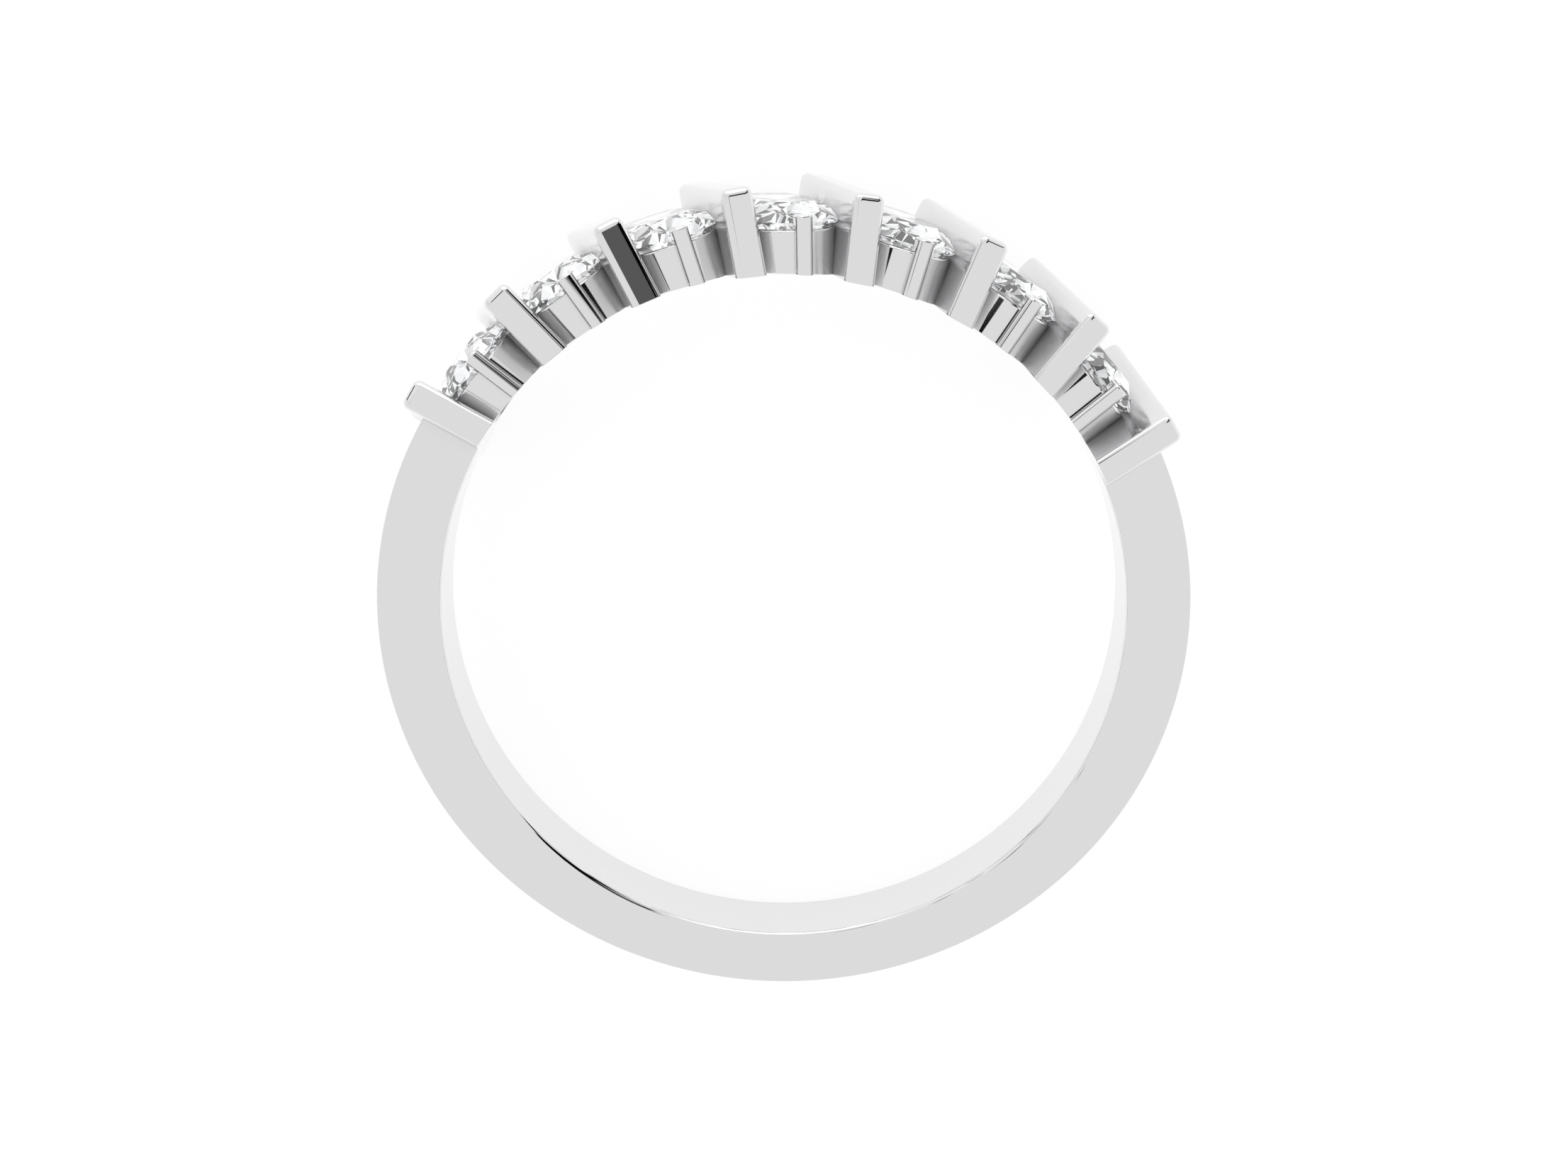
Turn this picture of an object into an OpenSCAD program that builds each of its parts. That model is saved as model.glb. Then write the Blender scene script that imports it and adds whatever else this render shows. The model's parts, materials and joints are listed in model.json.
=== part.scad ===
// A finger ring whose head is a row of slanted bars with an oval stone between each pair.
//
// The ring is drawn with the finger's axis along Z and its head towards +Y, then laid down
// as it comes to rest on a table: on the back ends of its bars and the back edge of its
// shank, a little off level because the head is wider than the shank.

/* [Finger hole] */
// Radius of the finger hole
bore_r = 8.4; // [7:0.05:10.5]
// Rounding of the hole's two edges
bore_edge_r = 0.16; // [0.05:0.01:0.3]

/* [Shank] */
// Width of the shank along the finger
shank_w = 2.2; // [1.6:0.1:3.5]
// Thickness of the shank opposite the head
shank_bottom_t = 1.34; // [1:0.01:2]
// Thickness of the shank beside the finger
shank_side_t = 1.58; // [1.2:0.01:2]

/* [Bars] */
// Number of bars across the head
bar_count = 8; // [4:1:8]
// Angle from one bar to the next, seen along the finger
bar_pitch = 17.04; // [16:0.01:19]
// Thickness of a bar
bar_t = 0.747; // [0.6:0.001:0.9]
// Length of a bar at the finger hole
bar_len = 5.487; // [4.8:0.001:6.5]
// Turn of each bar about its own upright axis
bar_turn = 14.47; // [0:0.01:20]
// Height of a bar's flat top above the finger's axis
bar_top = 10.415; // [10.2:0.005:11]
// How far each end face leans in from the finger hole to the top
bar_lean = 0.193; // [0:0.001:0.4]
// Rounding of the end faces' upright edges
bar_side_r = 0.16; // [0.05:0.01:0.3]
// Rounding of the end faces' top edge
bar_top_r = 0.15; // [0.05:0.01:0.3]

/* [Stones] */
// Length of a stone along the bars
stone_len = 4.5; // [3.8:0.01:4.52]
// Width of a stone across the bars
stone_w = 2.62; // [2.2:0.01:2.64]
// Radius of a stone's rounded ends
stone_end_r = 1.2; // [0.9:0.01:1.25]
// Height of the girdle's lower edge above the finger's axis
girdle_low = 9.53; // [9.5:0.01:9.55]
// Thickness of the girdle
girdle_t = 0.055; // [0.045:0.005:0.09]
// Height of the crown above the girdle
crown_h = 0.41; // [0.35:0.01:0.5]
// How far the table lies inside the girdle, all the way round
table_inset = 0.57; // [0.4:0.01:0.6]
// Depth of the pavilion below the girdle
pavilion_h = 1.06; // [0.9:0.01:1.08]
// Gap between a stone and its seat
stone_gap = 0.02; // [0.01:0.005:0.03]

/* [Collets] */
// Length of a collet along the bars
collet_len = 4.56; // [4.54:0.01:4.9]
// Width of a collet, whose sides run into the bars
collet_w = 2.67; // [2.66:0.01:2.8]
// Radius of a collet's rounded ends
collet_end_r = 1.1; // [0.9:0.01:1.2]
// Height of a collet's rim above the finger's axis
rim_h = 9.4; // [9.35:0.01:9.43]
// Length of the opening under a stone
light_len = 3.3; // [2.8:0.1:3.4]
// Width of the opening under a stone
light_w = 1.36; // [1:0.02:1.5]

/* [Prongs] */
// Width of a prong
prong_w = 0.37; // [0.3:0.01:0.6]
// How far a prong's middle is to the side of the stone's middle
prong_shift = 0.03; // [0:0.01:0.06]
// Distance of a prong's outer face from the stone's middle
prong_out = 2.53; // [2.45:0.01:2.6]
// Distance of a prong's inner face from the stone's middle
prong_in = 1.98; // [1.8:0.01:2.1]
// Height of a prong's rounded top above the finger's axis
prong_top = 9.753; // [9.7:0.001:9.9]
// Rounding of a prong's upright edges
prong_r = 0.04; // [0.03:0.01:0.12]

/* [Rest] */
// Lean at which the ring lies on a table
rest_lean = 6.59; // [0:0.01:12]
// Direction of the axis that it leans about, in plan from X
rest_axis = 3; // [-15:0.01:15]
// Height of the finger hole's middle above the table
rest_height = 2.212; // [1:0.001:5]
// Shift of the hole's middle sideways, which centres the part
rest_x = 0; // [-2:0.001:2]
// Shift of the hole's middle towards the head, which centres the part
rest_y = -0.415; // [-2:0.001:2]

/* [Hidden] */

$fn = 96;
SLIVER = 0.2;          // how far tools reach past what they cut
METAL = "gainsboro";
STONE = "aliceblue";

stone_count = bar_count - 1;
half_head = (bar_count - 1) / 2 * bar_pitch;   // angle from the middle to the outer bars
lean = atan(bar_lean / (bar_top - bore_r));    // lean of the end faces
bar_low = bore_r - 2 * SLIVER;                 // bars and collets start inside the hole

// Corners of a stone's table, and girdle points along one facet's edge
FACETS = 8;
GIRDLE_STEPS = 4;

girdle_high = girdle_low + girdle_t;
table_h = girdle_high + crown_h;
crown_mid = girdle_high + crown_h / 2;           // height of the crown's middle corners
culet_h = girdle_low - pavilion_h;
pavilion_part = 0.22;                            // outline left at the pavilion's middle corners
pavilion_mid = girdle_low - (1 - pavilion_part) * pavilion_h;   // height of those corners

// Steps in which the seats follow the crown and the pavilion, down to the light opening
crown_steps = 3;
pavilion_steps = 3;
seat_low = 8.98;

// The outline of an oval is four arcs: two of end_r at the ends, two long ones between.
// Half sizes a along X and b along Y. m is how far the long arcs' centres lie off the middle.
function long_arc_shift(a, b, end_r) =
    (pow(a - end_r, 2) - pow(b - end_r, 2)) / (2 * (b - end_r));

// A flat oval from the four arcs, made of circles so that its walls stay true curves.
module oval(a, b, end_r) {
    k = a - end_r;
    m = long_arc_shift(a, b, end_r);
    joint_x = (b + m) * k / norm([k, m]);
    intersection() {
        translate([0, -m]) circle(b + m);
        translate([0, m]) circle(b + m);
        square([2 * joint_x, 4 * b], center = true);
    }
    for (side = [-1, 1]) translate([side * k, 0]) circle(end_r);
}

// The point of an oval's outline whose outward direction is phi.
function oval_point(phi, a, b, end_r) =
    let (k = a - end_r, m = long_arc_shift(a, b, end_r), c = cos(phi), s = sin(phi))
    abs(s) * k < abs(c) * m
        ? [sign(c) * k + end_r * c, end_r * s]
        : [(b + m) * c, -sign(s) * m + (b + m) * s];

// Puts its children, drawn along Z with Y up, at an angle round the head, turned like the bars.
module around(angle) rotate([0, 0, -angle]) rotate([0, bar_turn, 0]) children();

// Raises a flat outline, drawn with X along the bars and Y across, from one height to another.
module upright(low, high)
    translate([0, low, 0]) rotate([-90, -90, 0]) linear_extrude(high - low) children();

// Thickens a flat outline, drawn with X as the height and Y along the bars, to both sides.
module across(half)
    translate([-half, 0, 0]) rotate([90, 0, 90]) linear_extrude(2 * half) children();

// Lays the finished ring down on the table.
module lying()
    translate([rest_x, rest_y, rest_height])
        rotate(a = rest_lean, v = [cos(rest_axis), sin(rest_axis), 0]) children();

function bar_angle(i) = (i - (bar_count + 1) / 2) * bar_pitch;
function stone_angle(i) = (i - (stone_count + 1) / 2) * bar_pitch;

// The shank: a band of even width whose thickness grows a little towards the sides,
// cut away at the head between the outer bars' middles.
module shank() {
    side = bore_r + shank_side_t;
    bottom = bore_r + shank_bottom_t;
    far = 2 * side;
    difference() {
        translate([0, 0, -shank_w / 2]) linear_extrude(shank_w) difference() {
            oval(side, bottom, side - (side - bottom) / (2 - sqrt(2)));
            polygon([[0, 0], far * [sin(half_head), cos(half_head)], [far, 2 * far],
                     [-far, 2 * far], far * [-sin(half_head), cos(half_head)]]);
        }
        finger_hole(shank_w / 2, bore_edge_r);
    }
}

// The finger hole, flared where it meets faces at +half and -half.
module finger_hole(half, edge_r) rotate_extrude() {
    translate([0, -half - SLIVER]) square([bore_r, 2 * (half + SLIVER)]);
    for (side = [0, 1]) mirror([0, side]) difference() {
        translate([bore_r - edge_r, half - edge_r]) square([2 * edge_r, edge_r + SLIVER]);
        translate([bore_r + edge_r, half - edge_r]) circle(edge_r);
    }
}

// Half the length of a bar at a height above the finger's axis.
function bar_half(h) = bar_len / 2 - (h - bore_r) * tan(lean);

// One end of a bar in plan: a strip along X whose end, at reach, has round corners.
module bar_strip(reach) {
    translate([-bar_len, -bar_t / 2]) square([bar_len + reach - bar_side_r, bar_t]);
    translate([0, -bar_t / 2 + bar_side_r]) square([reach, bar_t - 2 * bar_side_r]);
    for (side = [-1, 1])
        translate([reach - bar_side_r, side * (bar_t / 2 - bar_side_r)]) circle(bar_side_r);
}

// A bar's top from its side, X being the height: flat, with a rounding at either end that
// meets the leaning end face. Below the roundings it is left wider than the bar.
module bar_side() {
    h = bar_top - bar_top_r;
    y = bar_half(h) - bar_top_r / cos(lean);
    face = [h, y] + bar_top_r * [sin(lean), cos(lean)];
    wide = bar_half(bar_low) + SLIVER;
    polygon([[bar_low, -wide], [bar_low, wide], [face.x, wide], face, [bar_top, y],
             [bar_top, -y], [face.x, -face.y], [face.x, -wide]]);
    for (side = [-1, 1]) translate([h, side * y]) circle(bar_top_r);
}

// The strip that trims a bar's front end, leaning in towards the top.
module bar_end()
    translate([0, bore_r, 0]) rotate([-lean, 0, 0]) translate([0, -bore_r, 0])
        upright(bar_low - 1, bar_top + 1) bar_strip(bar_len / 2 * cos(lean));

// A bar: its side view, trimmed at both ends.
module bar() intersection() {
    across(bar_t) bar_side();
    bar_end();
    mirror([0, 0, 1]) bar_end();
}

// An oval cup under a stone, open at the bottom once the seat is cut.
module collet() upright(bar_low, rim_h) oval(collet_len / 2, collet_w / 2, collet_end_r);

// The upright claw at a stone's front end, with round upright edges and a round top edge.
module prong() translate([prong_shift, 0, 0]) intersection() {
    upright(bar_low, prong_top) {
        translate([prong_in, -prong_w / 2])
            square([prong_out - prong_in - prong_r, prong_w]);
        translate([prong_in, -prong_w / 2 + prong_r])
            square([prong_out - prong_in, prong_w - 2 * prong_r]);
        for (side = [-1, 1])
            translate([prong_out - prong_r, side * (prong_w / 2 - prong_r)]) circle(prong_r);
    }
    across(prong_w) {
        top_r = (prong_out - prong_in) / 3;
        translate([bar_low - 1, 0]) square([prong_top - bar_low + 1, prong_out - top_r]);
        translate([bar_low - 1, 0]) square([prong_top - bar_low + 1 - top_r, 2 * prong_out]);
        translate([prong_top - top_r, prong_out - top_r]) circle(top_r);
    }
}

// How far the crown lies inside the girdle's outline at a height, at its widest corners.
function crown_inset(h) = lookup(h, [[girdle_high, 0],
    [crown_mid, stone_end_r - (stone_end_r - table_inset / 2) / cos(facing(360 / FACETS) / 2)],
    [table_h, table_inset]]);

// What is left of the outline in the pavilion at a height, at its widest corners.
function pavilion_left(h) = lookup(h, [[culet_h, 0],
    [pavilion_mid, pavilion_part / cos(180 / FACETS)], [girdle_low, 1]]);

// The stone's outline, shrunk to a part and moved in, and grown by the gap to the seat.
module stone_room(part = 1, inset = 0) {
    grow = stone_gap - inset;
    oval(part * stone_len / 2 + grow, part * stone_w / 2 + grow, part * stone_end_r + grow);
}

// What is cut out of the metal for a stone: steps that follow it, and the light opening.
module seat() {
    reach = SLIVER / 4;
    crown_step = crown_h / crown_steps;
    for (i = [0 : crown_steps - 1])
        let (h = girdle_high + i * crown_step)
            upright(h - reach, h + crown_step) stone_room(inset = crown_inset(h - reach));
    upright(girdle_low - reach, girdle_high) stone_room();
    pavilion_step = (girdle_low - reach - seat_low) / pavilion_steps;
    for (i = [0 : pavilion_steps - 1])
        let (h = seat_low + i * pavilion_step)
            upright(h, h + pavilion_step + reach)
                stone_room(part = pavilion_left(h + pavilion_step));
    upright(bar_low - SLIVER, seat_low + reach)
        oval(light_len / 2, light_w / 2, light_w / 2 * 0.9);
}

// The head's bars, collets and prongs, cut off at the finger hole.
module head() difference() {
    union() {
        for (i = [1 : bar_count]) around(bar_angle(i)) bar();
        for (i = [1 : stone_count]) around(stone_angle(i)) {
            collet();
            for (end = [0, 1]) rotate([0, 180 * end, 0]) prong();
        }
    }
    cylinder(h = 2 * bar_len, r = bore_r, center = true);
}

// The soldered metal: shank and head in one piece. The seats are cut from both, because the
// shank's ends reach through the outer bars to the end stones.
module ring_mount() color(METAL) lying() difference() {
    union() {
        shank();
        head();
    }
    for (i = [1 : stone_count]) around(stone_angle(i)) seat();
}

// The direction in which the outline faces at a turn t round the stone.
function facing(t) = atan2(stone_len * sin(t), stone_w * cos(t));

// A point of the outline, moved in.
function outline(t, inset = 0) =
    oval_point(facing(t), stone_len / 2 - inset, stone_w / 2 - inset, stone_end_r - inset);

// The corner where main facets i and i + 1 meet, at a height where both have shrunk to a part
// of the outline and moved in.
function corner(i, part, inset) =
    let (t0 = i * 360 / FACETS, t1 = (i + 1) * 360 / FACETS,
         n0 = [cos(facing(t0)), sin(facing(t0))], n1 = [cos(facing(t1)), sin(facing(t1))],
         c0 = part * n0 * outline(t0) - inset, c1 = part * n1 * outline(t1) - inset)
    [c0 * n1.y - c1 * n0.y, n0.x * c1 - n1.x * c0] / cross(n0, n1);
function crown_corner(i) = corner(i, 1, table_inset / 2);
function pavilion_corner(i) = corner(i, pavilion_part, 0);

// Height of the girdle's edge at point j, where the flat facet between the corner m, at the
// height high, and the girdle's corners, at the height low, runs out in a shallow scallop.
function scallop(j, low, high, m) =
    let (q = floor(j / GIRDLE_STEPS), a = outline(q * 180 / FACETS),
         b = outline((q + 1) * 180 / FACETS), e = outline(j * 180 / FACETS / GIRDLE_STEPS))
    low + (high - low) * cross(b - a, e - a) / cross(b - a, m - a);

// A faceted oval stone, drawn with its length along X and its height along Z.
module stone_shape() {
    n = FACETS;
    g = 2 * n * GIRDLE_STEPS;
    top = 0; mid = n; upper = 2 * n; lower = upper + g; deep = lower + g; tip = deep + n;
    function facet(j) = floor(j / GIRDLE_STEPS / 2);
    points = concat(
        [for (i = [0 : n - 1]) let (p = outline(i * 360 / n, table_inset)) [p.x, p.y, table_h]],
        [for (i = [0 : n - 1]) let (p = crown_corner(i)) [p.x, p.y, crown_mid]],
        [for (j = [0 : g - 1]) let (p = outline(j * 360 / g))
            [p.x, p.y, scallop(j, girdle_high, crown_mid, crown_corner(facet(j)))]],
        [for (j = [0 : g - 1]) let (p = outline(j * 360 / g))
            [p.x, p.y, scallop(j, girdle_low, pavilion_mid, pavilion_corner(facet(j)))]],
        [for (i = [0 : n - 1]) let (p = pavilion_corner(i)) [p.x, p.y, pavilion_mid]],
        [[0, 0, culet_h]]);
    faces = concat(
        [[for (i = [n - 1 : -1 : 0]) top + i]],
        [for (i = [0 : n - 1]) [top + i, top + (i + 1) % n, mid + i]],
        [for (i = [0 : n - 1])
            [top + i, mid + i, upper + 2 * i * GIRDLE_STEPS, mid + (i + n - 1) % n]],
        [for (q = [0 : 2 * n - 1]) concat([mid + floor(q / 2)],
            [for (j = [GIRDLE_STEPS : -1 : 0]) upper + (q * GIRDLE_STEPS + j) % g])],
        [for (j = [0 : g - 1])
            [upper + j, upper + (j + 1) % g, lower + (j + 1) % g, lower + j]],
        [for (q = [0 : 2 * n - 1]) concat([deep + floor(q / 2)],
            [for (j = [0 : GIRDLE_STEPS]) lower + (q * GIRDLE_STEPS + j) % g])],
        [for (i = [0 : n - 1])
            [tip, deep + (i + n - 1) % n, lower + 2 * i * GIRDLE_STEPS, deep + i]]);
    polyhedron(points, faces);
}

// The stone at place i, counted from the left of the head.
module stone(i) color(STONE) lying() around(stone_angle(i)) rotate([-90, -90, 0]) stone_shape();

module stone_1() stone(1);
module stone_2() stone(2);
module stone_3() stone(3);
module stone_4() stone(4);
module stone_5() stone(5);
module stone_6() stone(6);
module stone_7() stone(7);

ring_mount();
stone_1();
stone_2();
stone_3();
stone_4();
stone_5();
stone_6();
stone_7();
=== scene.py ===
"""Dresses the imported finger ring: polished metal, clear faceted stones, pale floor and soft light.

The ring's own axes have the finger's axis along Z and the head towards +Y. Every piece is built
in those axes and then laid down in the row frame by the pose of the finger hole in the record.
"""

import json
import logging
import math
from dataclasses import dataclass, field
from enum import Enum

import bmesh
import bpy
from mathutils import Matrix, Vector

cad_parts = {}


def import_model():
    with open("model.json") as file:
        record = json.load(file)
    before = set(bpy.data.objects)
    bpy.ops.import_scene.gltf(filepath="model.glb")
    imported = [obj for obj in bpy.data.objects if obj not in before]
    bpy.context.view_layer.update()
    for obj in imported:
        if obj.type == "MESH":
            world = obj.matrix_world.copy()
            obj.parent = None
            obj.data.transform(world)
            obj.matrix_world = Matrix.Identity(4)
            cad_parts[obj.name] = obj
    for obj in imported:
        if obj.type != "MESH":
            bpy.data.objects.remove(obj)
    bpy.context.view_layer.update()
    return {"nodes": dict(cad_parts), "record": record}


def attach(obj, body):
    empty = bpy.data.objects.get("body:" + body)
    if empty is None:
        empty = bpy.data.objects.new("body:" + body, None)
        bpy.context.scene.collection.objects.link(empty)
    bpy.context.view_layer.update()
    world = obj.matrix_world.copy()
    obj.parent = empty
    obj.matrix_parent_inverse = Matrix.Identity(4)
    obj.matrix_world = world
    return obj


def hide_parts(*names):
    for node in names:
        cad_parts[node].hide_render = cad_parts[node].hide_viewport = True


log = logging.getLogger("ring")

MM = 0.001
METAL_NODE = "ring_mount"
STONE_PREFIX = "stone_"
PHOTO_SIZE = (2212, 1659)


class Slot(Enum):
    """The record's material slots."""

    METAL = "metal"
    STONE = "stone"


class Along(Enum):
    """Which way a run of points is turned round the finger."""

    BARS = 0
    STONES = 1


@dataclass(frozen=True)
class RingPose:
    """Where the finger hole lies in the row frame, and its radius in millimetres."""

    centre: Vector
    axis: Vector
    bore_r: float

    @classmethod
    def from_record(cls, record: dict) -> "RingPose":
        """Reads the finger mount.

        Args:
            record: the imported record.

        Returns:
            The pose of the ring's own axes.
        """
        mount = next(m for m in record["mounts"] if m["name"] == "finger")
        return cls(Vector(mount["pos_m"]), Vector(mount["axis"]).normalized(), mount["dims"]["r_mm"])

    @property
    def matrix(self) -> Matrix:
        """From the ring's own axes, in millimetres, to the row frame, in metres."""
        turn = Vector((0, 0, 1)).rotation_difference(self.axis).to_matrix().to_4x4()
        return Matrix.Translation(self.centre) @ turn @ Matrix.Scale(MM, 4)

    def place(self, point: Vector) -> Vector:
        """A point given in the ring's own axes, in the row frame."""
        return self.matrix @ point

    def direction(self, way: Vector) -> Vector:
        """A direction given in the ring's own axes, in the row frame."""
        return (self.matrix.to_3x3() @ way).normalized()


@dataclass(frozen=True)
class Oval:
    """An oval of four arcs: two round ends and two long sides. All sizes are half sizes."""

    half_length: float
    half_width: float
    end_r: float

    def point(self, facing: float) -> tuple[float, float]:
        """The point of the outline that faces a direction.

        Args:
            facing: the outward direction in radians, 0 being along the oval.

        Returns:
            Its place along and across the oval.
        """
        shift = self.half_length - self.end_r
        slack = self.half_width - self.end_r
        back = (shift**2 - slack**2) / (2 * slack)
        c, s = math.cos(facing), math.sin(facing)
        if abs(s) * shift < abs(c) * back:
            return math.copysign(shift, c) + self.end_r * c, self.end_r * s
        side_r = self.half_width + back
        return side_r * c, side_r * s - math.copysign(back, s)

    def points(self, count: int) -> list[tuple[float, float]]:
        """Points round the outline, closer together on the round ends."""
        turns = (2 * math.pi * i / count for i in range(count))
        return [
            self.point(math.atan2(self.half_length * math.sin(t), self.half_width * math.cos(t)))
            for t in turns
        ]


@dataclass
class Head:
    """The layout of the head: how the bars and stones follow each other round the finger."""

    bore_r: float
    bar_count: int = 8
    pitch: float = math.radians(17.04)
    turn: float = math.radians(14.47)

    def angle(self, place: int, along: Along) -> float:
        """The angle of a place from the head's middle, clockwise seen from the front.

        Args:
            place: counted from 0 at the left.
            along: whether bars or stones are counted.

        Returns:
            The angle in radians.
        """
        count = self.bar_count - along.value
        return (place - (count - 1) / 2) * self.pitch

    @property
    def half_angle(self) -> float:
        """The angle from the head's middle to an outer bar."""
        return self.angle(self.bar_count - 1, Along.BARS)

    def local(self, across: float, height: float, length: float) -> Vector:
        """A point of a bar or a cup at the head's middle, in the ring's own axes."""
        c, s = math.cos(self.turn), math.sin(self.turn)
        return Vector((across * c + length * s, height, length * c - across * s))

    def floor(self, across: float, length: float) -> float:
        """The height at which a bar or a cup meets the finger hole."""
        side = across * math.cos(self.turn) + length * math.sin(self.turn)
        return math.sqrt(self.bore_r**2 - side**2)


def mesh_object(name: str, mesh: bpy.types.Mesh) -> bpy.types.Object:
    """Links a mesh to the scene under a plain name."""
    obj = bpy.data.objects.new(name, mesh)
    bpy.context.scene.collection.objects.link(obj)
    return obj


def finished_mesh(name: str, bm: bmesh.types.BMesh) -> bpy.types.Mesh:
    """Closes a bmesh into a mesh whose faces point outwards.

    Args:
        name: the mesh's name.
        bm: the bmesh, which is freed.

    Returns:
        The new mesh.
    """
    bmesh.ops.remove_doubles(bm, verts=bm.verts, dist=1e-5)
    bmesh.ops.recalc_face_normals(bm, faces=bm.faces)
    mesh = bpy.data.meshes.new(name)
    bm.to_mesh(mesh)
    bm.free()
    return mesh


def bake(obj: bpy.types.Object) -> None:
    """Turns an object with modifiers into a plain mesh."""
    graph = bpy.context.evaluated_depsgraph_get()
    mesh = bpy.data.meshes.new_from_object(obj.evaluated_get(graph), depsgraph=graph)
    obj.modifiers.clear()
    obj.data = mesh


def merge_flats(mesh: bpy.types.Mesh, flat: float = math.radians(0.3)) -> None:
    """Joins the triangles that a cut leaves on a flat face.

    Args:
        mesh: the mesh.
        flat: the greatest angle between faces that are joined.
    """
    bm = bmesh.new()
    bm.from_mesh(mesh)
    bmesh.ops.dissolve_limit(bm, angle_limit=flat, verts=bm.verts, edges=bm.edges)
    bm.to_mesh(mesh)
    bm.free()


def shade(mesh: bpy.types.Mesh, sharp: float = math.radians(35)) -> None:
    """Shades roundings smoothly and leaves the flats beside them flat.

    A corner takes the normals of the faces round its vertex that turn less than the sharp
    angle from its own face, the larger faces counting for far more.

    Args:
        mesh: the mesh, which gets normals of its own.
        sharp: the angle above which an edge stays sharp.
    """
    bm = bmesh.new()
    bm.from_mesh(mesh)
    limit = math.cos(sharp)
    weights = {f: f.normal * (f.calc_area() / MM**2) ** 2 for f in bm.faces}
    normals = []
    for f in bm.faces:
        for loop in f.loops:
            near = (g for g in loop.vert.link_faces if g.normal.dot(f.normal) > limit)
            total = sum((weights[g] for g in near), Vector())
            normals.append(total.normalized() if total.length else f.normal.copy())
    bm.free()
    mesh.shade_smooth()
    mesh.normals_split_custom_set(normals)


class Sock:
    """A shader socket, or a number, on which arithmetic adds Math nodes."""

    def __init__(self, tree: bpy.types.NodeTree, value: "bpy.types.NodeSocket | float") -> None:
        """Wraps a socket or a number of one node tree."""
        self.tree = tree
        self.value = value

    def _math(self, operation: str, *others: "Sock | float") -> "Sock":
        """Adds a Math node and returns its result."""
        values = [self.value] + [o.value if isinstance(o, Sock) else o for o in others]
        out = add_node(self.tree, "ShaderNodeMath", {"operation": operation}, dict(enumerate(values)))
        return Sock(self.tree, out.outputs[0])

    def __add__(self, other: "Sock | float") -> "Sock":
        """The sum."""
        return self._math("ADD", other)

    __radd__ = __add__

    def __mul__(self, other: "Sock | float") -> "Sock":
        """The product."""
        return self._math("MULTIPLY", other)

    __rmul__ = __mul__

    def __sub__(self, other: "Sock | float") -> "Sock":
        """The difference."""
        return self._math("SUBTRACT", other)

    def __rsub__(self, other: float) -> "Sock":
        """A number less this."""
        return Sock(self.tree, other)._math("SUBTRACT", self)

    def __truediv__(self, other: "Sock | float") -> "Sock":
        """The quotient."""
        return self._math("DIVIDE", other)

    def function(self, operation: str, *others: "Sock | float") -> "Sock":
        """Any other operation of the Math node, such as ARCTAN2."""
        return self._math(operation, *others)

    def limited(self, low: float, high: float) -> "Sock":
        """This, kept between two numbers."""
        return self._math("MAXIMUM", low)._math("MINIMUM", high)

    def step(self, low: float, high: float) -> "Sock":
        """A smooth rise from 0 at low to 1 at high, or a fall where low is above high."""
        settings = {"interpolation_type": "SMOOTHSTEP"}
        up = low < high
        sockets = {0: self.value, 1: min(low, high), 2: max(low, high), 3: 0.0 if up else 1.0}
        sockets[4] = 1.0 if up else 0.0
        return Sock(self.tree, add_node(self.tree, "ShaderNodeMapRange", settings, sockets).outputs[0])


def add_node(
    tree: bpy.types.NodeTree, kind: str, settings: dict = {}, sockets: dict = {}
) -> bpy.types.Node:
    """Adds a node, sets it, and fills its sockets.

    Args:
        tree: the node tree.
        kind: the node's type name.
        settings: attributes of the node, which are set first.
        sockets: values or sockets to link, by the input's name or number.

    Returns:
        The node.
    """
    node = tree.nodes.new(kind)
    for name, value in settings.items():
        setattr(node, name, value)
    for name, value in sockets.items():
        value = value.value if isinstance(value, Sock) else value
        if isinstance(value, bpy.types.NodeSocket):
            tree.links.new(value, node.inputs[name])
        else:
            node.inputs[name].default_value = value
    return node


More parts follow.
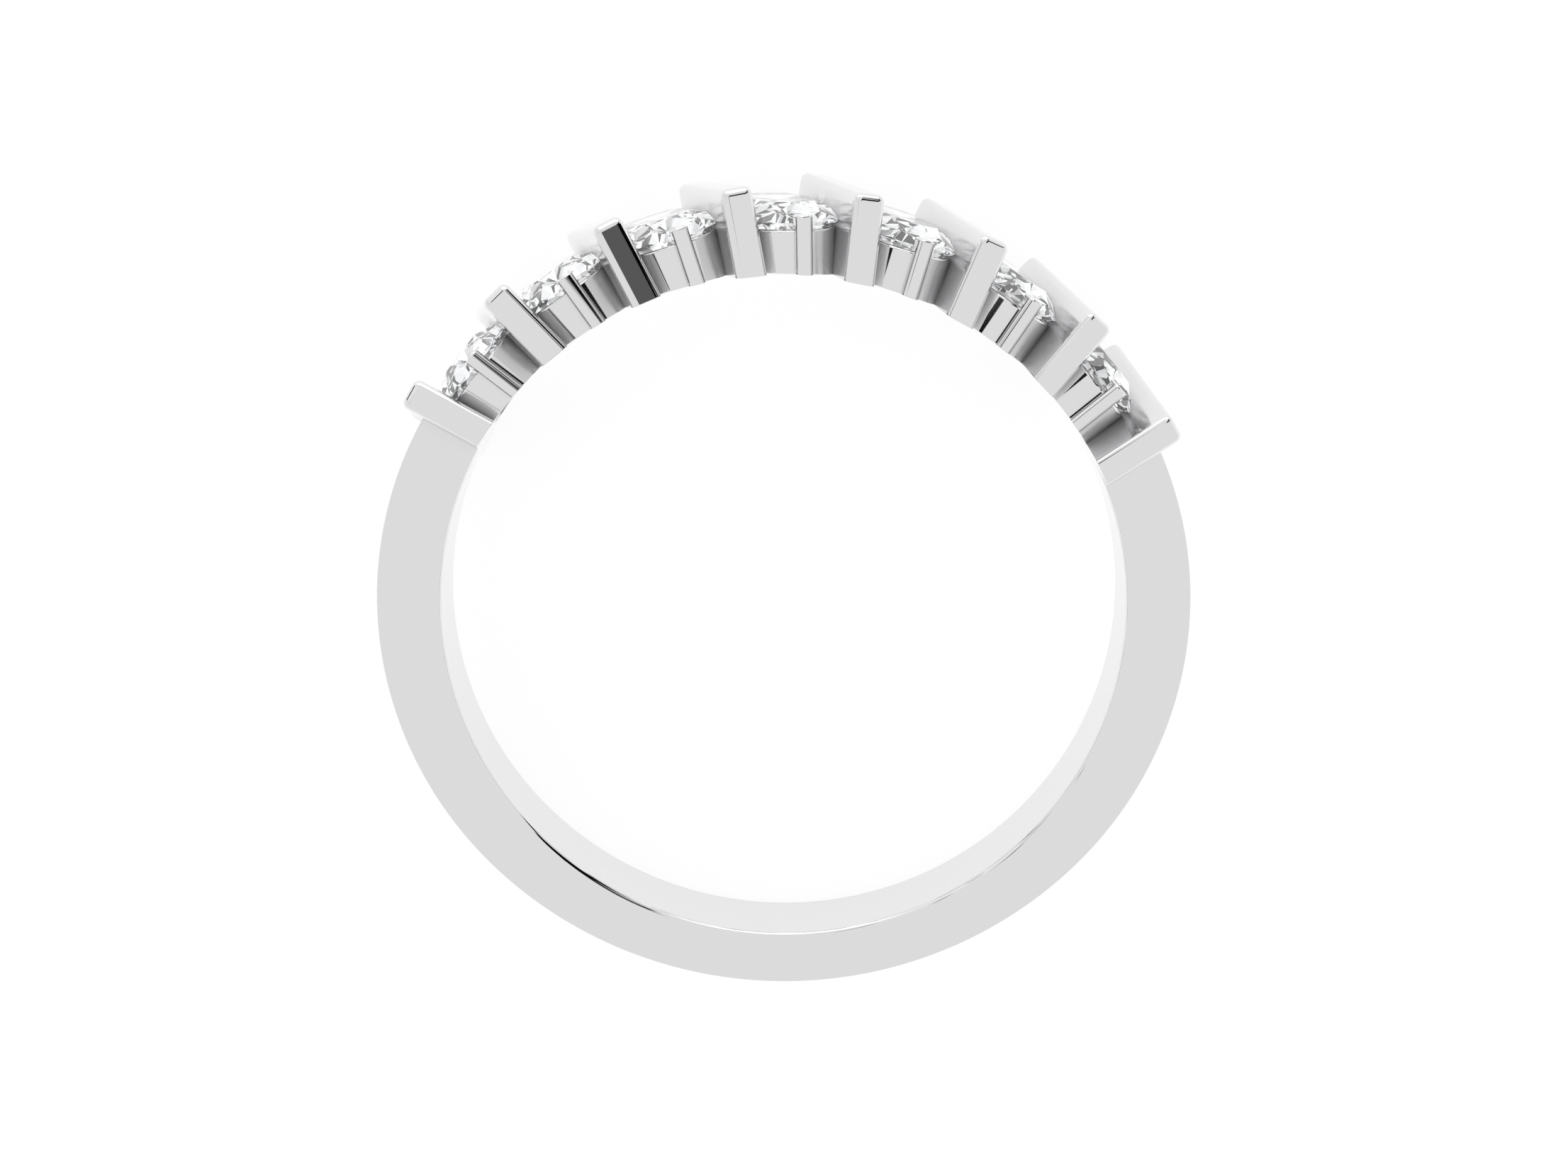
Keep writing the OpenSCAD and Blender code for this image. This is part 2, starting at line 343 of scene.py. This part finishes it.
@dataclass(frozen=True)
class PolishedMetal:
    """Polished white metal with faint polishing marks, and painted shade that darkens it in recesses and
    between parts.
    """

    name: str
    color: tuple[float, float, float, float] = (0.8, 0.8, 0.805, 1.0)
    # The darker colour painted where ambient occlusion finds metal close by: painted shade.
    painted_recess_shade: tuple[float, float, float, float] = (0.66, 0.66, 0.665, 1.0)
    recess_size: float = 1.1 * MM
    recess_roughness: float = 0.05
    roughness: float = 0.035
    mark_depth: float = 0.03
    mark_scale: float = 6000.0

    def build(self) -> bpy.types.Material:
        """Makes the material.

        Returns:
            The material, whose marks follow Object coordinates.
        """
        material = bpy.data.materials.new(self.name)
        material.use_nodes = True
        tree = material.node_tree
        surface = tree.nodes["Principled BSDF"]
        coords = add_node(tree, "ShaderNodeTexCoord").outputs["Object"]
        fine = add_node(
            tree, "ShaderNodeTexNoise", {}, {"Vector": coords, "Scale": self.mark_scale, "Detail": 4.0}
        )
        broad = add_node(tree, "ShaderNodeTexNoise", {}, {"Vector": coords, "Scale": 350.0})
        blotch = Sock(tree, broad.outputs[0])
        open_part = add_node(
            tree, "ShaderNodeAmbientOcclusion", {"samples": 12}, {"Distance": self.recess_size}
        )
        # The occlusion mask drives the painted shade in the base colour and a rougher finish in recesses.
        occlusion_mask = 1 - Sock(tree, open_part.outputs["AO"])
        occlusion_mask = occlusion_mask.step(0.15, 0.9)
        rough = self.roughness + blotch.step(0.35, 0.75) * self.roughness + occlusion_mask * self.recess_roughness
        bump = add_node(
            tree,
            "ShaderNodeBump",
            {},
            {"Height": fine.outputs[0], "Strength": self.mark_depth, "Distance": 2e-7},
        )
        # Painted shade: the base colour goes towards the darker recess colour in corners and between bars
        # and cups.
        base = add_node(
            tree, "ShaderNodeMix", {"data_type": "RGBA"}, {0: occlusion_mask, 6: self.color, 7: self.painted_recess_shade}
        )
        tree.links.new(base.outputs[2], surface.inputs["Base Color"])
        surface.inputs["Metallic"].default_value = 1.0
        tree.links.new(rough.value, surface.inputs["Roughness"])
        tree.links.new(bump.outputs[0], surface.inputs["Normal"])
        return material


@dataclass(frozen=True)
class ClearStone:
    """A clear cut stone of high refraction, with a faint painted glow."""

    name: str = "clear_stone"
    color: tuple[float, float, float, float] = (0.985, 0.99, 1.0, 1.0)
    refraction: float = 2.0
    painted_glow: float = 0.02

    def build(self) -> bpy.types.Material:
        """Makes the material.

        Returns:
            The material, with a trace of uneven polish on the facets and a faint painted glow.
        """
        material = bpy.data.materials.new(self.name)
        material.use_nodes = True
        tree = material.node_tree
        surface = tree.nodes["Principled BSDF"]
        coords = add_node(tree, "ShaderNodeTexCoord").outputs["Object"]
        noise = add_node(tree, "ShaderNodeTexNoise", {}, {"Vector": coords, "Scale": 900.0})
        rough = Sock(tree, noise.outputs[0]).step(0.6, 0.9) * 0.01
        surface.inputs["Base Color"].default_value = self.color
        surface.inputs["IOR"].default_value = self.refraction
        surface.inputs["Transmission Weight"].default_value = 1.0
        # Painted glow: a faint emission in the stone's own colour brightens every facet.
        surface.inputs["Emission Color"].default_value = self.color
        surface.inputs["Emission Strength"].default_value = self.painted_glow
        tree.links.new(rough.value, surface.inputs["Roughness"])
        return material


@dataclass
class Repeat:
    """A Geometry Nodes tree that repeats one form round the finger and lays the ring down."""

    pose: RingPose
    pitch: float

    def tree(self, name: str, material: bpy.types.Material) -> bpy.types.NodeTree:
        """Builds the tree.

        Args:
            name: the tree's name.
            material: what every copy is made of.

        Returns:
            A tree with the inputs Form, Count and Pitch.
        """
        tree = bpy.data.node_groups.new(name, "GeometryNodeTree")
        face = tree.interface
        face.new_socket("Form", in_out="INPUT", socket_type="NodeSocketGeometry")
        face.new_socket("Count", in_out="INPUT", socket_type="NodeSocketInt")
        face.new_socket("Pitch", in_out="INPUT", socket_type="NodeSocketFloat")
        face.new_socket("Ring", in_out="OUTPUT", socket_type="NodeSocketGeometry")
        given = tree.nodes.new("NodeGroupInput").outputs
        result = tree.nodes.new("NodeGroupOutput")
        points = add_node(tree, "GeometryNodePoints", {}, {"Count": given["Count"]})
        index = Sock(tree, tree.nodes.new("GeometryNodeInputIndex").outputs[0])
        middle = (Sock(tree, given["Count"]) - 1.0) * 0.5
        angle = (middle - index) * Sock(tree, given["Pitch"])
        turn = add_node(tree, "ShaderNodeCombineXYZ", {}, {"Z": angle})
        copies = add_node(
            tree,
            "GeometryNodeInstanceOnPoints",
            {},
            {"Points": points.outputs[0], "Instance": given["Form"], "Rotation": turn.outputs[0]},
        )
        lean = self.pose.matrix.to_euler()
        laid = add_node(
            tree,
            "GeometryNodeTransform",
            {},
            {
                "Geometry": copies.outputs[0],
                "Translation": self.pose.centre,
                "Rotation": lean,
                "Scale": (MM, MM, MM),
            },
        )
        solid = add_node(tree, "GeometryNodeRealizeInstances", {}, {"Geometry": laid.outputs[0]})
        dressed = add_node(
            tree,
            "GeometryNodeSetMaterial",
            {},
            {"Geometry": solid.outputs[0], "Material": material},
        )
        tree.links.new(dressed.outputs[0], result.inputs[0])
        return tree

    def apply(self, obj: bpy.types.Object, count: int, material: bpy.types.Material) -> None:
        """Repeats an object's mesh and keeps the result as its mesh.

        Args:
            obj: an object whose mesh is drawn at the head's middle, in the ring's own axes.
            count: how many copies there are.
            material: what they are made of.
        """
        obj.data.materials.append(material)
        tree = self.tree(obj.name + "_repeat", material)
        modifier = obj.modifiers.new("repeat", "NODES")
        modifier.node_group = tree
        values = {"Count": count, "Pitch": self.pitch}
        for item in tree.interface.items_tree:
            if item.name in values and item.in_out == "INPUT":
                modifier[item.identifier] = values[item.name]
        bake(obj)


@dataclass
class Polish:
    """The small edge rounding that polishing leaves, in row metres."""

    width: float = 0.018 * MM
    sharp: float = math.radians(28)

    def add(self, obj: bpy.types.Object) -> None:
        """Rounds an object's sharp edges and keeps its flat faces flat."""
        bevel = obj.modifiers.new("edges", "BEVEL")
        bevel.width = self.width
        bevel.segments = 2
        bevel.limit_method = "ANGLE"
        bevel.angle_limit = self.sharp
        bevel.harden_normals = False


@dataclass
class Shank:
    """The band round the finger, from the outer bar on one side to the other."""

    pose: RingPose
    head: Head
    width: float = 2.2
    bottom_t: float = 1.34
    side_t: float = 1.58
    hole_edge_r: float = 0.16
    outer_edge_r: float = 0.05
    inset: float = 0.004
    steps: int = 240
    arc_steps: int = 6

    def outer(self, angle: float) -> float:
        """The outside radius at an angle from the head, from four arcs like the source's."""
        side = self.pose.bore_r + self.side_t - self.inset
        bottom = self.pose.bore_r + self.bottom_t - self.inset
        oval = Oval(side, bottom, side - (side - bottom) / (2 - math.sqrt(2)))
        way = math.pi / 2 - angle
        facing = way
        for _ in range(4):
            x, y = oval.point(facing)
            facing += math.remainder(way - math.atan2(y, x), 2 * math.pi)
        return math.hypot(*oval.point(facing))

    def section(self, outer: float) -> list[tuple[float, float]]:
        """The closed section as radius and place along the finger, round corners included."""
        inner = self.pose.bore_r
        half = self.width / 2
        corners = [
            (inner, -half, self.hole_edge_r, math.pi),
            (outer, -half, self.outer_edge_r, 1.5 * math.pi),
            (outer, half, self.outer_edge_r, 0.0),
            (inner, half, self.hole_edge_r, 0.5 * math.pi),
        ]
        points = []
        for radius, z, edge, start in corners:
            cr = radius + (edge if radius == inner else -edge)
            cz = z - math.copysign(edge, z)
            for i in range(self.arc_steps + 1):
                a = start + 0.5 * math.pi * i / self.arc_steps
                points.append((cr + edge * math.cos(a), cz + edge * math.sin(a)))
        return points

    def build(self, material: bpy.types.Material) -> bpy.types.Object:
        """Makes the shank.

        Args:
            material: its metal.

        Returns:
            The finished piece in the row frame.
        """
        bm = bmesh.new()
        rings = []
        start, end = self.head.half_angle, 2 * math.pi - self.head.half_angle
        for i in range(self.steps + 1):
            angle = start + (end - start) * i / self.steps
            way = Vector((math.sin(angle), math.cos(angle), 0))
            section = self.section(self.outer(angle))
            rings.append(
                [bm.verts.new(self.pose.place(way * r + Vector((0, 0, z)))) for r, z in section]
            )
        for a, b in zip(rings, rings[1:]):
            for i in range(len(a)):
                j = (i + 1) % len(a)
                bm.faces.new((a[i], a[j], b[j], b[i]))
        bm.faces.new(rings[0])
        bm.faces.new(list(reversed(rings[-1])))
        mesh = bpy.data.meshes.new("shank")
        bmesh.ops.recalc_face_normals(bm, faces=bm.faces)
        bm.to_mesh(mesh)
        bm.free()
        mesh.materials.append(material)
        return mesh_object("shank", mesh)


@dataclass
class Block:
    """An upright block that stands on the finger hole, with its upright and top edges rounded."""

    across: tuple[float, float]
    along: tuple[float, float]
    top: float
    edge_r: float
    top_r: float
    lean: float = 0.0
    steps: int = 10
    edge_steps: int = 6
    flat: float = 0.95

    def rounded(self, bm: bmesh.types.BMesh, edges: list[bmesh.types.BMEdge], radius: float) -> None:
        """Rounds edges.

        Args:
            bm: the bmesh that they belong to.
            edges: the edges.
            radius: the rounding's radius.
        """
        bmesh.ops.bevel(
            bm,
            geom=edges,
            offset=radius,
            offset_type="OFFSET",
            segments=self.edge_steps,
            profile=0.5,
            affect="EDGES",
            clamp_overlap=True,
            loop_slide=True,
        )

    def build(self, head: Head) -> bmesh.types.BMesh:
        """Makes the block in the ring's own axes.

        Args:
            head: gives the turn of the block and the floor that it stands on.

        Returns:
            A new bmesh.
        """
        bm = bmesh.new()
        start, end = self.along
        columns = []
        for i in range(self.steps + 1):
            part = i / self.steps
            drawn_in = self.lean * (1 - 2 * part)
            length = start + (end - start) * part
            row = []
            for across in self.across:
                low = head.floor(across, length)
                row.append(bm.verts.new(head.local(across, low, length)))
                row.append(bm.verts.new(head.local(across, self.top, length + drawn_in)))
            columns.append(row)
        for a, b in zip(columns, columns[1:]):
            bm.faces.new((a[0], b[0], b[2], a[2]))
            bm.faces.new((a[1], a[3], b[3], b[1]))
            bm.faces.new((a[0], a[1], b[1], b[0]))
            bm.faces.new((a[2], b[2], b[3], a[3]))
        ends = (columns[0], columns[-1])
        for row in ends:
            bm.faces.new((row[0], row[1], row[3], row[2]))
        bmesh.ops.recalc_face_normals(bm, faces=bm.faces)
        upright = [bm.edges.get((row[i], row[i + 1])) for row in ends for i in (0, 2)]
        self.rounded(bm, upright, self.edge_r)
        bm.normal_update()
        top = [e for e in bm.edges if sum(f.normal.y > self.flat for f in e.link_faces) == 1]
        self.rounded(bm, top, self.top_r)
        return bm


@dataclass
class Bars:
    """The slanted bars across the head."""

    head: Head
    thickness: float = 0.747
    length: float = 5.487
    top: float = 10.415
    lean: float = 0.193
    edge_r: float = 0.18

    def form(self) -> bpy.types.Mesh:
        """One bar at the head's middle, in the ring's own axes."""
        half_t, half_l = self.thickness / 2, self.length / 2
        block = Block(
            (-half_t, half_t), (-half_l, half_l), self.top, self.edge_r, self.edge_r, self.lean
        )
        return finished_mesh("bars", block.build(self.head))


@dataclass
class Cups:
    """The oval cups under the stones."""

    head: Head
    outline: Oval = Oval(2.28, 1.335, 1.1)
    seat: Oval = Oval(2.06, 1.2, 1.0)
    opening: Oval = Oval(1.72, 0.78, 0.7)
    rim: float = 9.4
    rim_r: float = 0.06
    seat_low: float = 9.0
    count: int = 128
    rim_steps: int = 6

    def form(self) -> bpy.types.Mesh:
        """One cup at the head's middle, in the ring's own axes."""
        bm = bmesh.new()
        outer = self.outline.points(self.count)
        inner = self.opening.points(self.count)
        seat = self.seat.points(self.count)
        drawn_in = Oval(
            self.outline.half_length - self.rim_r,
            self.outline.half_width - self.rim_r,
            self.outline.end_r - self.rim_r,
        ).points(self.count)
        levels = [[(a, self.head.floor(c, a), c) for a, c in outer]]
        for i in range(self.rim_steps + 1):
            turn = 0.5 * math.pi * i / self.rim_steps
            mix, height = math.cos(turn), self.rim - self.rim_r * (1 - math.sin(turn))
            levels.append([
                (d[0] + (o[0] - d[0]) * mix, height, d[1] + (o[1] - d[1]) * mix)
                for o, d in zip(outer, drawn_in)
            ])
        levels.append([(a, self.rim, c) for a, c in seat])
        levels.append([(a, self.seat_low, c) for a, c in inner])
        levels.append([(a, self.head.floor(c, a), c) for a, c in inner])
        rings = [[bm.verts.new(self.head.local(c, h, a)) for a, h, c in ring] for ring in levels]
        for low, high in zip(rings, rings[1:] + rings[:1]):
            for i in range(self.count):
                j = (i + 1) % self.count
                bm.faces.new((low[i], low[j], high[j], high[i]))
        return finished_mesh("cups", bm)


@dataclass
class Prongs:
    """The upright claws, one at either end of each stone."""

    head: Head
    width: float = 0.41
    shift: float = 0.03
    outer: float = 2.53
    inner: float = 1.98
    top: float = 9.753
    edge_r: float = 0.165
    top_r: float = 0.06

    def form(self) -> bpy.types.Mesh:
        """The two prongs of the stone at the head's middle, in the ring's own axes."""
        bm = bmesh.new()
        for end in (-1, 1):
            middle, half = end * self.shift, self.width / 2
            along = (self.inner, self.outer) if end > 0 else (-self.outer, -self.inner)
            across = (middle - half, middle + half)
            claw = Block(across, along, self.top, self.edge_r, self.top_r, steps=1).build(self.head)
            mesh = finished_mesh("claw", claw)
            bm.from_mesh(mesh)
            bpy.data.meshes.remove(mesh)
        return finished_mesh("prongs", bm)


@dataclass
class Mount:
    """The soldered metal: shank, bars, cups and prongs."""

    pose: RingPose
    head: Head
    stones: list[bpy.types.Object]
    material: bpy.types.Material
    wall_material: bpy.types.Material
    grow: float = 0.012 * MM
    wall_area: float = 0.3 * MM**2
    wall_slack: float = 0.01

    def cutter(self) -> bpy.types.Object:
        """All stones as one closed mesh, grown a little, for cutting the seats."""
        bm = bmesh.new()
        for stone in self.stones:
            bm.from_mesh(stone.data)
        bmesh.ops.remove_doubles(bm, verts=bm.verts, dist=1e-7)
        bmesh.ops.recalc_face_normals(bm, faces=bm.faces)
        bm.normal_update()
        moves = [(v, v.normal * self.grow) for v in bm.verts]
        for v, move in moves:
            v.co += move
        mesh = bpy.data.meshes.new("seat_cutter")
        bm.to_mesh(mesh)
        bm.free()
        return mesh_object("seat_cutter", mesh)

    def finish(self, obj: bpy.types.Object, seated: bpy.types.Object | None) -> bpy.types.Object:
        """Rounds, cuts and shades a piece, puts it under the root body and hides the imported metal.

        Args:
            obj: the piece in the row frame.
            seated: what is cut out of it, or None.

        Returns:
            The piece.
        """
        Polish().add(obj)
        if seated:
            cut = obj.modifiers.new("seats", "BOOLEAN")
            cut.operation = "DIFFERENCE"
            cut.solver = "EXACT"
            cut.use_self = True
            cut.object = seated
        bake(obj)
        merge_flats(obj.data)
        shade(obj.data)
        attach(obj, "root")
        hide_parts(METAL_NODE)
        log.info("%s: %d faces", obj.name, len(obj.data.polygons))
        return obj

    def soften_walls(self, obj: bpy.types.Object) -> None:
        """Gives the wide side walls of the bars the softer metal.

        Args:
            obj: the bars. Their walls are told by their size and by their slant.
        """
        slant = math.sin(self.head.turn)
        obj.data.materials.append(self.wall_material)
        for face in obj.data.polygons:
            miss = abs(face.normal.dot(self.pose.axis)) - slant
            if face.area > self.wall_area and abs(miss) < self.wall_slack:
                face.material_index = len(obj.data.materials) - 1

    def build(self) -> None:
        """Makes every metal piece."""
        repeat = Repeat(self.pose, self.head.pitch)
        cutter = self.cutter()
        self.finish(Shank(self.pose, self.head).build(self.material), cutter)
        forms = [
            (Bars(self.head).form(), self.head.bar_count, cutter),
            (Cups(self.head).form(), self.head.bar_count - 1, None),
            (Prongs(self.head).form(), self.head.bar_count - 1, cutter),
        ]
        pieces = []
        for mesh, count, seated in forms:
            obj = mesh_object(mesh.name, mesh)
            repeat.apply(obj, count, self.material)
            pieces.append(self.finish(obj, seated))
        self.soften_walls(pieces[0])
        bpy.data.objects.remove(cutter)


@dataclass(frozen=True)
class Flag:
    """A narrow dark strip of the surroundings, in degrees to the side and up."""

    start: tuple[float, float]
    end: tuple[float, float]
    half_width: float = 1.0
    strength: float = 1.0

    def shade(self, side: Sock, rise: Sock) -> Sock:
        """How dark the strip makes a direction.

        Args:
            side: the direction's degrees to the side.
            rise: its degrees up.

        Returns:
            The strength inside the strip and 0 outside it.
        """
        run, climb = self.end[0] - self.start[0], self.end[1] - self.start[1]
        along, over = side - self.start[0], rise - self.start[1]
        part = (along * run + over * climb) * (1 / (run**2 + climb**2))
        part = part.limited(0.0, 1.0)
        gap_x, gap_y = along - part * run, over - part * climb
        gap = (gap_x * gap_x + gap_y * gap_y).function("SQRT")
        return gap.step(self.half_width * 1.3, self.half_width * 0.7) * self.strength


@dataclass
class Studio:
    """The pale floor, the soft light and the camera."""

    pose: RingPose
    camera_place: Vector = field(default_factory=lambda: Vector((0.6167, 13.9007, 54.612)))
    camera_way: Vector = field(default_factory=lambda: Vector((-0.010636, -0.240587, -0.970569)))
    camera_up: Vector = field(default_factory=lambda: Vector((0.011998, 0.970524, -0.240707)))
    lens: float = 51.785
    floor_size: float = 0.6
    flags: tuple[Flag, ...] = (
        Flag((-31.0, 15.8), (-20.8, 9.8), 1.5),
        Flag((-42.0, 7.0), (-35.0, 5.3), 0.8),
        Flag((-26.5, 28.5), (-21.5, 24.0), 1.5),
        Flag((-104.0, 29.0), (-77.0, 34.0), 1.6),
        Flag((-20.0, 43.0), (-9.0, 34.5), 1.2),
        Flag((-62.0, 25.0), (-47.0, 23.0), 2.5, 0.45),
        Flag((-60.0, 43.0), (-50.0, 39.0), 2.0, 0.5),
    )

    def camera(self) -> bpy.types.Object:
        """Makes the camera at the photograph's angle to the ring.

        Returns:
            The camera, which is the scene's.
        """
        data = bpy.data.cameras.new("camera")
        data.lens = self.lens
        data.sensor_width = 36.0
        data.clip_start = 0.001
        data.clip_end = 10.0
        obj = bpy.data.objects.new("camera", data)
        bpy.context.scene.collection.objects.link(obj)
        back = -self.pose.direction(self.camera_way)
        up = self.pose.direction(self.camera_up)
        right = up.cross(back).normalized()
        up = back.cross(right)
        turn = Matrix((right, up, back)).transposed().to_4x4()
        obj.matrix_world = Matrix.Translation(self.pose.place(self.camera_place)) @ turn
        bpy.context.scene.camera = obj
        return obj

    def floor(self) -> bpy.types.Object:
        """Makes the plain pale floor.

        Returns:
            The floor.
        """
        bm = bmesh.new()
        bmesh.ops.create_grid(bm, x_segments=8, y_segments=8, size=self.floor_size / 2)
        mesh = bpy.data.meshes.new("floor")
        bm.to_mesh(mesh)
        bm.free()
        obj = mesh_object("floor", mesh)
        material = bpy.data.materials.new("pale_floor")
        material.use_nodes = True
        tree = material.node_tree
        surface = tree.nodes["Principled BSDF"]
        surface.inputs["Base Color"].default_value = (0.28, 0.28, 0.28, 1)
        surface.inputs["Roughness"].default_value = 0.9
        surface.inputs["Specular IOR Level"].default_value = 0.0
        surface.inputs["Emission Color"].default_value = (1, 1, 1, 1)
        surface.inputs["Emission Strength"].default_value = 0.81
        mesh.materials.append(material)
        return obj

    def big_flag(self, side: Sock, rise: Sock) -> Sock:
        """How dark the broad flag on the right makes a direction."""
        low = (10.6 + (side - 20) * 0.42).function("MINIMUM", 27.3)
        high = (20 + (side - 14) * 1.35).function("MINIMUM", 50.0)
        flag = side.step(10, 13) * side.step(95, 89) * (rise - low).step(-0.7, 0.7)
        flag = flag * (high - rise).step(-1, 1)
        notch = side.step(32, 35) * side.step(47, 44) * rise.step(35, 37)
        hole = side.step(66, 73) * rise.step(30.5, 33) * rise.step(45, 43)
        flag = flag * (1 - notch) * (1 - hole)
        return flag * (1 - side.step(36, 17) * 0.13)

    def light(self) -> None:
        """Makes the soft surroundings: grey in front, white round about, with dark flags."""
        world = bpy.data.worlds.new("studio")
        bpy.context.scene.world = world
        world.use_nodes = True
        tree = world.node_tree
        way = add_node(tree, "ShaderNodeTexCoord").outputs["Generated"]
        turn = self.pose.matrix.to_euler()
        local = add_node(
            tree, "ShaderNodeVectorRotate", {"rotation_type": "EULER_XYZ", "invert": True},
            {"Vector": way, "Rotation": turn},
        )
        split = add_node(tree, "ShaderNodeSeparateXYZ", {}, {0: local.outputs[0]})
        x, y, z = (Sock(tree, split.outputs[i]) for i in range(3))
        degree = 180 / math.pi
        side = x.function("ARCTAN2", z) * degree
        rise = y.function("ARCSINE") * degree
        dark = self.big_flag(side, rise)
        for flag in self.flags:
            dark = dark.function("MAXIMUM", flag.shade(side, rise))
        bright = 0.887 + rise.step(60, 66) * 0.9 + side.step(-10, -30) * rise.step(20, 30) * 0.08
        level = bright * (1 - dark)
        back = add_node(tree, "ShaderNodeCombineColor", {}, {0: level, 1: level, 2: level})
        tree.links.new(back.outputs[0], tree.nodes["Background"].inputs[0])


def main() -> None:
    """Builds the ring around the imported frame."""
    logging.basicConfig(level=logging.INFO, format="%(name)s: %(message)s")
    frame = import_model()
    pose = RingPose.from_record(frame["record"])
    head = Head(pose.bore_r)
    scene = bpy.context.scene
    scene.view_settings.view_transform = "Standard"
    stones = [o for n, o in sorted(frame["nodes"].items()) if n.startswith(STONE_PREFIX)]
    clear = ClearStone().build()
    for stone in stones:
        for material_slot in stone.material_slots:
            material_slot.material = clear
        log.info("%s dressed", stone.name)
    polished = PolishedMetal("polished_white_metal").build()
    soft = PolishedMetal("soft_white_metal", recess_roughness=0.4, roughness=0.09).build()
    Mount(pose, head, stones, polished, soft).build()
    studio = Studio(pose)
    studio.camera()
    studio.floor()
    studio.light()


if __name__ == "__main__":
    main()
